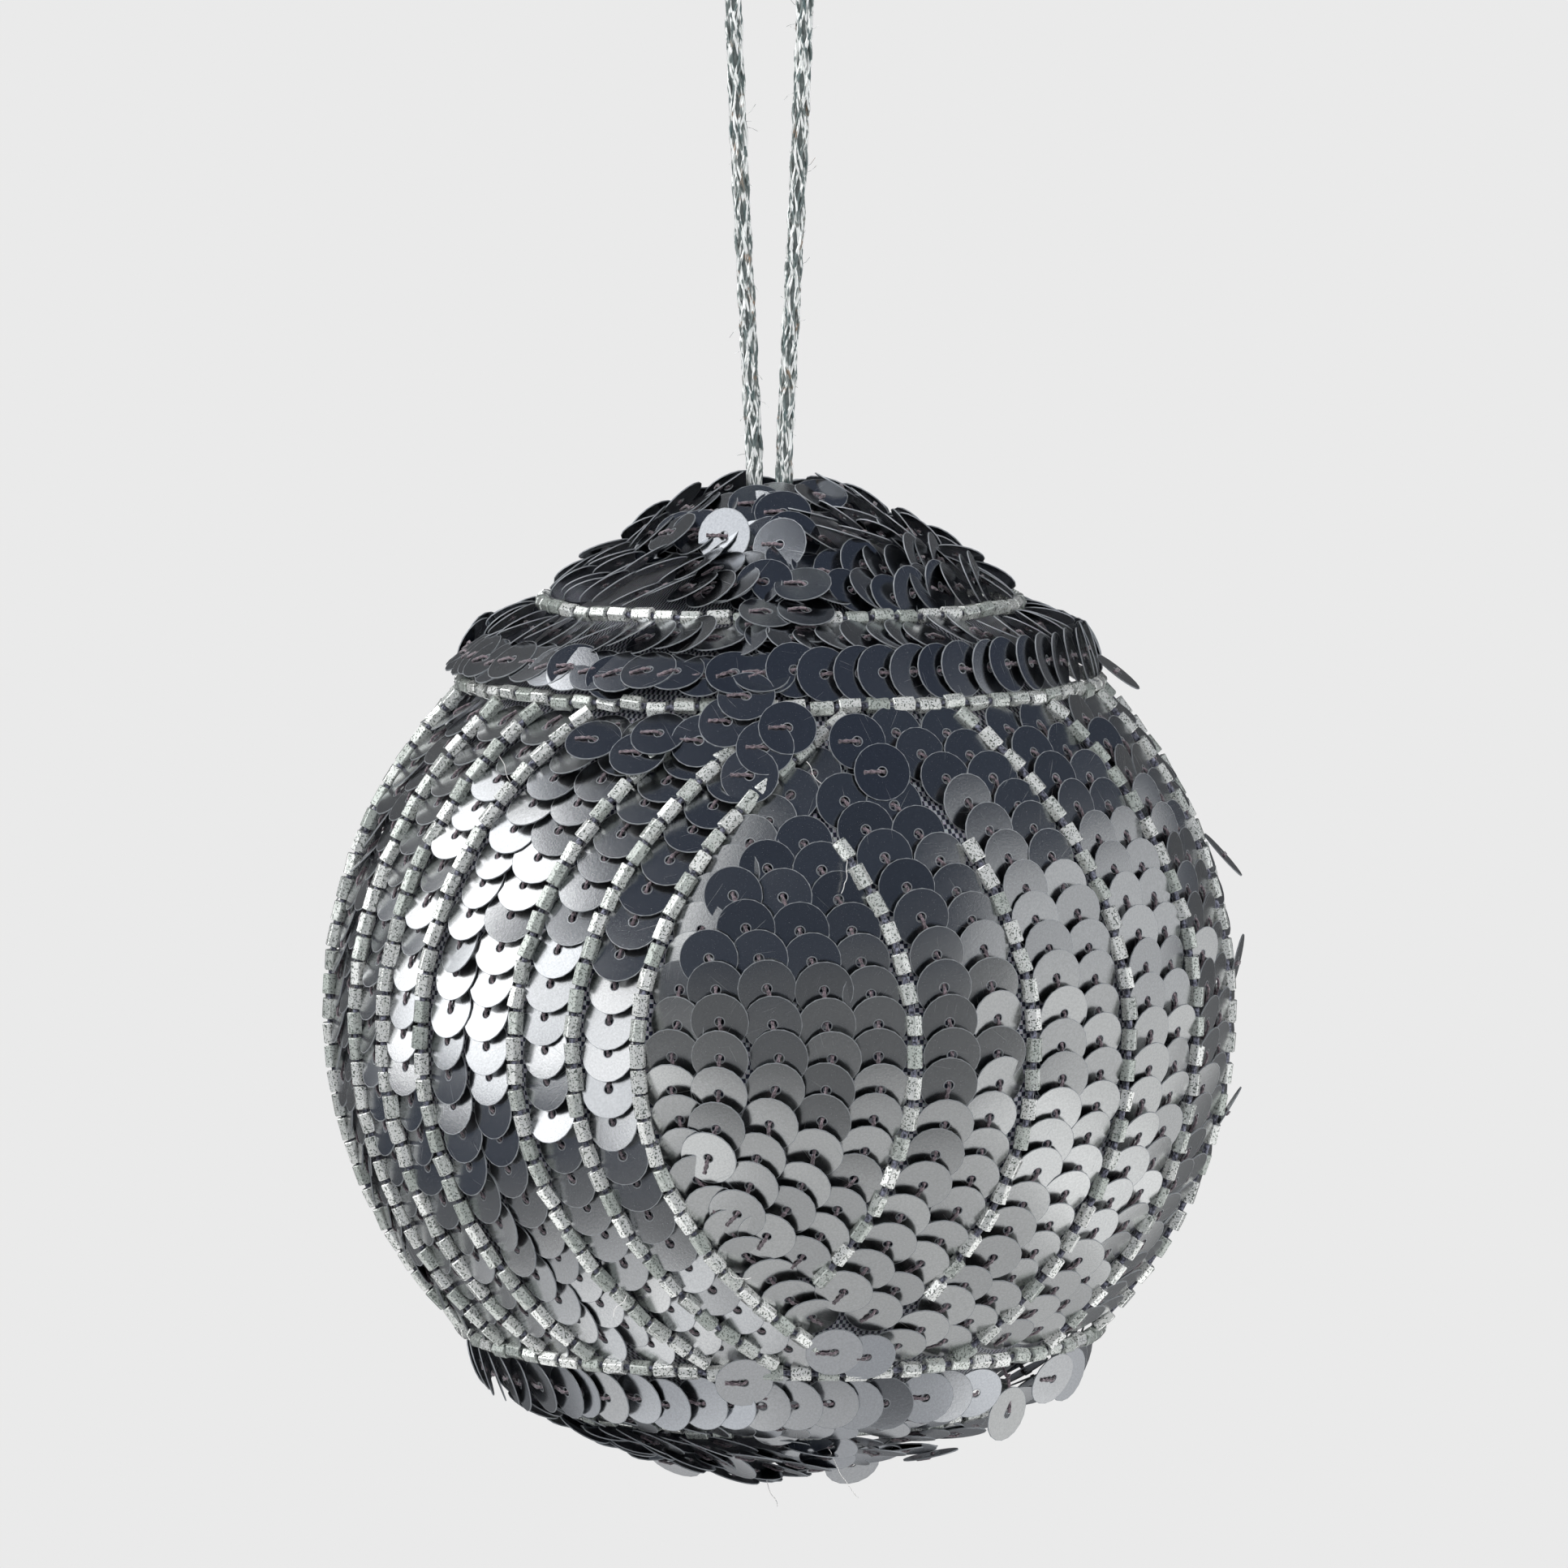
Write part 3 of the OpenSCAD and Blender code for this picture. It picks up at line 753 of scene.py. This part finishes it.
def tier_row(radius, height, facing, pitch, lean, rng, group, seam, lap, untidy):
    """Places of a ring of discs. facing gives the way they face at a longitude: a turn from straight out, and
    the angle above the horizon. lean is the way that the raised edges point on the east side of the seam."""
    count = floor(2 * pi * radius / pitch)
    places = []
    for k in range(count):
        lon = -180 + 360 * (k + 0.5 + rng.gauss(0, 0.08)) / count
        east = lean if lon > seam else -lean
        turn, up = facing(lon) if callable(facing) else (0, facing)
        spot = (Matrix.Translation(ball) @ spun(lon - 90, "Z")
                @ Matrix.Translation((radius + rng.gauss(0, 0.00015) * untidy, 0,
                                      height + rng.gauss(0, 0.0002) * untidy)))
        base = spot @ spun(turn, "Z") @ spun(-(up + rng.gauss(0, 3.5) * untidy), "Y")
        where = tilted(base, 90 * east + rng.gauss(0, 9) * untidy, lap + rng.gauss(0, 2.5) * untidy)
        if group == "lower" and (where.translation - bare_spot).length < bare_r:
            continue
        stitches[group].append(where)
        places.append(where @ Matrix.Rotation(rng.uniform(0, 2 * pi), 4, "Z"))
    return places


def outer_crown(lon):
    """The crown's lowest rows lie flat, edge on to the side, but face out between the front and the right."""
    if -80 < lon < -22:
        return -20, 68
    return (0, 62) if -22 < lon < 18 else (-5, 34) if 18 < lon < 75 else (0, 60)


def inner_crown(lon):
    """The crown's upper rows face out on the left and at the seam, and lie flat just right of it."""
    return (5, 50) if -90 < lon < -28 else (0, 36) if -28 < lon < 8 else (35, 68) if 8 < lon < 58 else (0, 50)


def shoulder(lon):
    """The shoulder's lower row leans back on the left of the seam and stands upright on its right."""
    return (30, 54) if -100 < lon < -2 else (-4, 18)


def outline_r(z):
    """The radius of the ball's outline at a height, in millimetres."""
    corners = [[1000 * v for v in corner] for corner in (crown_top, crown_ring, shoulder_ring)]
    corners += [(cos(radians(lat)) * 40.2, sin(radians(lat)) * 40.2) for lat in range(44, -45, -2)]
    corners += [[1000 * v for v in corner] for corner in (lower_ring, base_ring, base_bottom)]
    for (r0, z0), (r1, z1) in zip(corners, corners[1:]):
        if z0 >= z >= z1:
            return r0 + (r1 - r0) * (z0 - z) / (z0 - z1)
    return 1.0


def loose_place(x, z, azimuth, up, proud=0.0):
    """A disc's place by how it lies seen from the front: x and z from the ball's middle, in millimetres."""
    spot = Vector((x, -sqrt(max((outline_r(z) + 0.3) ** 2 - x ** 2, 1.0)), z)) / 1000
    spot.y -= proud
    return Matrix.Translation(ball + spot) @ spun(azimuth - 90, "Z") @ spun(-up, "Y") @ spun(90, "Y")


tiers = [
    ("crown_sequins_outer", "upper", [(0.0183, 0.0376, outer_crown, 0.0020, -1, 19, 1.6),
                                      (0.0154, 0.0395, outer_crown, 0.0021, -1, 18, 1.8)]),
    ("crown_sequins_inner", "upper", [(0.0120, 0.0417, inner_crown, 0.0022, -1, 16, 1.8)]),
    ("crown_sequins_top", "upper", [(0.0086, 0.0437, inner_crown, 0.0028, -1, 14, 1.8),
                                    (0.0054, 0.0450, 55, 0.0034, -1, 12, 1.6)]),
    ("shoulder_sequins_upper", "upper", [(0.0237, 0.0340, 66, 0.0021, -1, 18, 1.2)]),
    ("shoulder_sequins_lower", "upper", [(0.0274, 0.0314, shoulder, 0.0026, -1, 16, 0.8)]),
    ("band_sequins_upper", "lower", [(0.0268, -0.0316, -20, 0.0028, 1, 13, 0.6)]),
    ("band_sequins_lower", "lower", [(0.0230, -0.0341, -62, 0.0022, 1, 14, 1.2)]),
    ("base_sequins_outer", "lower", [(0.0182, -0.0368, -72, 0.0022, 1, 14, 1.8),
                                     (0.0144, -0.0383, -74, 0.0022, 1, 14, 2.0)]),
    ("base_sequins_inner", "lower", [(0.0108, -0.0397, -78, 0.0027, 1, 12, 2.2)]),
    ("base_sequins_end", "lower", [(0.0068, -0.0407, -80, 0.0029, 1, 12, 2.4),
                                   (0.0030, -0.0414, -82, 0.0034, 1, 8, 1.5)]),
]
# Discs that lie out of their row: how far right and up each is, the way it faces and how far it stands proud
strays = {
    "crown_sequins_top": [(-2.1, 44.5, 0, 50, 0.0032), (0.2, 43.9, 0, 44, 0.0036), (3.4, 45.0, 5, 58, 0.001),
                          (-8.6, 42.0, -20, 46, 0.002), (-7.1, 42.2, -16, 44, 0.0024)],
    "crown_sequins_inner": [(-4.9, 42.0, -26, 13, 0.0036), (-0.1, 41.4, -24, 23, 0.0036),
                            (-10.6, 40.9, -40, 50, 0.001)],
    "crown_sequins_outer": [(1.9, 38.4, -12, 60, 0.0032), (-1.4, 38.5, -12, 42, 0.0024),
                            (-4.5, 38.2, -30, 60, 0.0018), (-1.1, 36.2, 12, 64, 0.0016),
                            (2.2, 36.3, 12, 64, 0.0014), (-1.4, 35.1, 6, 62, 0.0008),
                            (2.9, 34.8, 6, 68, 0.0006)],
    "shoulder_sequins_upper": [(-1.6, 31.4, 0, 56, 0.0018)],
    "shoulder_sequins_lower": [(-2.9, 29.6, -8, 40, 0.0018), (-4.5, 27.5, -12, 34, 0.0006),
                               (0.6, 27.1, 6, 30, 0.0014), (-1.3, 25.5, -4, 26, 0.0008), (-2.6, 23.2, -8, 22),
                               (-6.9, 25.9, -14, 32), (-10.3, 26.4, -20, 50), (-15.9, 25.7, -20, 54),
                               (-17.6, 31.4, -14, 42, 0.002), (-14.2, 30.7, -10, 44, 0.0012),
                               (-12.1, 24.8, -18, 48), (6.5, 25.9, 14, 20, 0.0006), (8.6, 23.4, 18, 16)],
    "band_sequins_upper": [(-3.1, -29.3, 4, -28, 0.001), (-0.8, -30.8, 8, -30, 0.0012),
                           (0.9, -31.8, 8, -30, 0.0006), (3.0, -32.2, 10, -32), (4.6, -26.4, 8, -30),
                           (7.4, -27.0, 12, -32), (-0.1, -34.2, 8, -36, 0.0004), (2.7, -35.2, 10, -38)],
    "band_sequins_lower": [(39.0, 13.2, 86, 42), (40.2, 3.9, 80, -12), (39.4, -9.6, 86, -32),
                           (29.6, 29.4, 80, 52)],
    "base_sequins_outer": [(6.3, -40.4, 16, -34, 0.004), (-9.4, -40.6, -35, -50, 0.002)],
}
for node, group, rows in tiers:
    rng = random.Random(node)
    places = []
    for radius, height, facing, pitch, lean, lap, untidy in rows:
        seam = -2.0 if group == "upper" else -180.0
        places += tier_row(radius, height, facing, pitch, lean, rng, group, seam, lap, untidy)
    for stray in strays.get(node, []):
        where = loose_place(*stray)
        stitches[group].append(where @ spun(90, "Z"))
        places.append(where @ Matrix.Rotation(rng.uniform(0, 2 * pi), 4, "Z"))
    sequin_piece(node + "_discs", node, places, tier_film, rng)

for group, places in stitches.items():
    piece = lay_copies(stitch, f"{group}_stitches", places, random.Random(group))
    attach(piece, "ball")


# ---- Tube beads ----
# Six-sided tube beads of clear glass, cut 1.9 mm long and lined with silver that has tarnished in greenish
# specks. One is modelled, and strung copies make the ribs, seams and rings, with dark thread in the gaps.
bead_r = 0.00072
bead_len = 0.0019
bead_hole_r = 0.0003


def model_bead():
    """A six-sided tube: both ends of a prism inset and bridged through, with its edges rounded off."""
    bpy.ops.object.select_all(action="DESELECT")
    bpy.ops.mesh.primitive_cylinder_add(vertices=6, radius=bead_r, depth=bead_len, end_fill_type="NGON")
    item = bpy.context.object
    item.name = "bead"
    bpy.ops.object.mode_set(mode="EDIT")
    bpy.ops.mesh.select_mode(type="FACE")
    bpy.ops.object.mode_set(mode="OBJECT")
    for face in item.data.polygons:
        face.select = abs(face.normal.z) > 0.5
    bpy.ops.object.mode_set(mode="EDIT")
    bpy.ops.mesh.inset(thickness=(bead_r - bead_hole_r) * cos(pi / 6))
    bpy.ops.mesh.bridge_edge_loops()
    bpy.ops.object.mode_set(mode="OBJECT")
    round_off = item.modifiers.new("round_off", "BEVEL")
    round_off.width, round_off.segments = 0.00007, 1
    round_off.limit_method, round_off.angle_limit = "ANGLE", radians(40)
    bpy.ops.object.modifier_apply(modifier=round_off.name)
    bpy.ops.object.mode_set(mode="EDIT")
    bpy.ops.mesh.select_all(action="SELECT")
    bpy.ops.mesh.normals_make_consistent(inside=False)
    bpy.ops.object.mode_set(mode="OBJECT")
    item.data.attributes.new("mark", "FLOAT_COLOR", "POINT")
    return item


bead_silver, tree, shader = new_finish("bead_silver", Metallic=0.5, Roughness=0.2, Coat_Weight=0.8,
                                       Coat_Roughness=0.08)
place = add_node(tree, "ShaderNodeTexCoord")
mark = add_node(tree, "ShaderNodeAttribute", attribute_name="mark")
tones = add_node(tree, "ShaderNodeSeparateColor", [("Color", mark.outputs["Color"])])
marks = add_marks(tree, place.outputs["Object"], 2400.0, 0.45)
spread = sums(tree, "ADD", marks.outputs["Shade"], tones.outputs["Red"])
tarnish = ranged(tree, spread.outputs[0], (0.75, 1.35))
colour = mix_colours(tree, tarnish.outputs["Result"], (0.95, 0.96, 0.93, 1), (0.5, 0.54, 0.5, 1))
specked = mix_colours(tree, marks.outputs["Specks"], colour.outputs[2], (0.16, 0.18, 0.16, 1))
tree.links.new(specked.outputs[2], shader.inputs["Base Color"])
rough = ranged(tree, tarnish.outputs["Result"], (0.0, 1.0), (0.15, 0.38))
tree.links.new(rough.outputs["Result"], shader.inputs["Roughness"])
add_relief(tree, shader, marks.outputs["Shade"], 0.3, 0.00005)
bead = model_bead()
bead.data.materials.append(bead_silver)

string_finish, tree, shader = new_finish("bead_string", Roughness=0.55, Sheen_Weight=0.3)
twist = two_tones(tree, own_noise(tree, 4200.0).outputs["Fac"], (0.012, 0.013, 0.022), (0.3, 0.31, 0.4), 0.4,
                  0.8)
tree.links.new(twist.outputs["Color"], shader.inputs["Base Color"])

# The two ribs next to each leaf stop short of the rings; here are the latitudes that they run between.
bead_sit_r = 0.0398
line_lat = 43.2
bead_seam_gap = 2.2
ring_out = {"crown_beads": 0.0007, "shoulder_beads": 0.0002, "lower_beads": 0.0004, "base_beads": 0.0007}
short_ribs = {-73.5: (-29.5, 25.5), -57.5: (-31.5, 26)}


def bead_line(angle, side, rng):
    """Places of the beads along one rib, and the line that their string follows."""
    pitch = 0.00215 if angle > -9 else 0.00255
    places, line = [], []
    for lat in row_lats(angle, pitch, line_lat):
        if angle < 0 and seam_gap(angle, lat, strips[0][0]) < bead_seam_gap:
            continue
        if angle in short_ribs and not short_ribs[angle][0] < lat < short_ribs[angle][1]:
            continue
        lon = side + angle / cos(radians(lat)) + rng.gauss(0, 0.12)
        base = on_ball(lon, lat, bead_sit_r) @ spun(-heading(angle, lat), "X")
        line.append(base.translation.copy())
        places.append(base @ spun(rng.gauss(0, 3), "X") @ spun(rng.gauss(0, 3), "Y")
                      @ Matrix.Rotation(rng.uniform(0, pi), 4, "Z")
                      @ Matrix.Diagonal((1, 1, rng.uniform(0.9, 1.06), 1)))
    return places, line


def bead_ring(radius, height, pitch, rng):
    """Places of the beads round one ring, and its string."""
    count = floor(2 * pi * radius / pitch)
    places, line = [], []
    for k in range(count):
        turn = 2 * pi * (k + rng.gauss(0, 0.04)) / count
        base = (Matrix.Translation(ball) @ Matrix.Rotation(turn, 4, "Z")
                @ Matrix.Translation((radius, 0, height + rng.gauss(0, 0.0001))))
        line.append(base.translation.copy())
        places.append(base @ Matrix.Rotation(pi / 2 + radians(rng.gauss(0, 3)), 4, "X")
                      @ Matrix.Rotation(rng.uniform(0, pi), 4, "Z")
                      @ Matrix.Diagonal((1, 1, rng.uniform(0.9, 1.06), 1)))
    return places, line + line[:1]


def bead_piece(node, strings, rng):
    """One CAD group of beads, with the string that runs through them."""
    piece = lay_copies(bead, node + "_strung", [where for places, _ in strings for where in places], rng)
    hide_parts(node)
    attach(piece, "ball")
    string = tube_lines(node + "_string", [(line, 1.0, 0) for _, line in strings if len(line) > 1], 0.00028)
    string.data.materials[0] = string_finish
    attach(string, "ball")


rib_groups = [("seam_beads_front", -90, 0, 1), ("seam_beads_back", 90, 0, 1),
              ("left_rib_beads_near", -90, 1, 7), ("left_rib_beads_far", -90, 7, 12),
              ("right_rib_beads_near", 90, 7, 12), ("right_rib_beads_far", 90, 1, 7)]
for node, side, first, last in rib_groups:
    rng = random.Random(node)
    bead_piece(node, [bead_line(line, side, rng) for line, _ in strips[first:last]], rng)
for node, corner in (("crown_beads", crown_ring), ("shoulder_beads", shoulder_ring),
                     ("lower_beads", lower_ring), ("base_beads", base_ring)):
    rng = random.Random(node)
    radius, height = deeper(corner, bead_path_r - bead_sit_r)
    radius += ring_out[node]
    bead_piece(node, [bead_ring(radius, height, 0.00235, rng)], rng)


# ---- Loose sequin ----
# One disc of the lower band has pulled away from its row and dangles on the right by its own thread, from the
# stitch that comes out of a hole in the band's upper row.
loose_low = Vector(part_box("loose_sequin")[0])
pivot = Vector(frame["joints"][1]["pos_m"])
outwards = Vector((pivot.x - ball.x, pivot.y, 0)).normalized()
disc_middle = Vector((pivot.x, pivot.y, loose_low.z + sequin_r))
facing_out = Matrix.Translation(disc_middle) @ outwards.to_track_quat("Z", "Y").to_matrix().to_4x4()
rng = random.Random("loose")
loose_disc = lay_copies(sequin, "loose_disc", [facing_out @ spun(14, "X")], rng)
loose_disc.data.materials.clear()
loose_disc.data.materials.append(pale_film)
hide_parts("loose_sequin")
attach(loose_disc, "loose_disc")
hang = [pivot + Vector((0, 0, -0.0001)), pivot + Vector((0.0001, 0, -0.0012)),
        pivot + Vector((-0.0001, 0, -0.0024)), disc_middle + Vector((0, 0, 0.0014)) + 0.00015 * outwards,
        disc_middle + 0.00016 * outwards]
back = [p - 0.00012 * outwards + Vector((0.0002, 0, 0)) for p in hang]
hanging_thread = tube_lines("loose_disc_thread", [(smooth_line(hang, 0.0003), 1.0, 0),
                                                  (smooth_line(back, 0.0003), 1.0, 0)], 0.0001)
hanging_thread.data.materials[0] = thread_finish
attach(hanging_thread, "loose_disc")

stitch_low, stitch_high = (Vector(corner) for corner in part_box("loose_thread_stitch"))
root = Vector((stitch_low.x if pivot.x > ball.x else stitch_high.x, stitch_high.y, stitch_high.z))
knot_line = [root, (root + pivot) / 2 + Vector((0, 0, 0.0001)), pivot, pivot + Vector((0.0002, 0.0001, 0.0001)),
             pivot + Vector((0, 0.0002, -0.0001)), pivot + Vector((-0.0002, 0, 0.0001)), pivot]
pulled_stitch = tube_lines("pulled_stitch", [(smooth_line(knot_line, 0.00012), 1.0, 0)], 0.00013)
pulled_stitch.data.materials[0] = thread_finish
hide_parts("loose_thread_stitch")
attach(pulled_stitch, "ball")


# ---- Loose hairs ----
# A few fine pale hairs of the thread's fibre have worked loose from the stitches on the front and the base.
# Each is held at one end, and wanders downwards and out. The table gives where each starts and how long it is.
hairs = []
for seed, (x, z, length) in enumerate([(3.8, -36.2, 6.0), (-1.5, -40.5, 4.0), (2.2, 24.4, 3.4),
                                       (5.6, 16.5, 3.0), (-13.0, -21.0, 2.4), (-4.3, -18.4, 2.2),
                                       (-24.0, 24.0, 3.0)]):
    rng = random.Random(seed)
    front = -outline_r(z) * cos(asin(x / (outline_r(z) + 1))) / 1000 - 0.0014
    at = Vector((x / 1000, front, z / 1000)) + ball
    points = [at.copy()]
    way = rng.uniform(-1.9, -1.2)
    for _ in range(9):
        way += rng.uniform(-0.35, 0.45)
        at = at + length / 9000 * Vector((cos(way), 0.12, sin(way)))
        points.append(at.copy())
    hairs.append((smooth_line(points, 0.00015), 1.0, 0))
loose_hairs = tube_lines("loose_hairs", hairs, 0.000035)
pale_hair, tree, shader = new_finish("pale_hair", Base_Color=(0.75, 0.74, 0.72, 1), Roughness=0.5)
loose_hairs.data.materials[0] = pale_hair
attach(loose_hairs, "ball")

# The modelled pieces that the copies were taken from are no part of the ornament
for template in (sequin, stitch, bead):
    bpy.data.objects.remove(template)
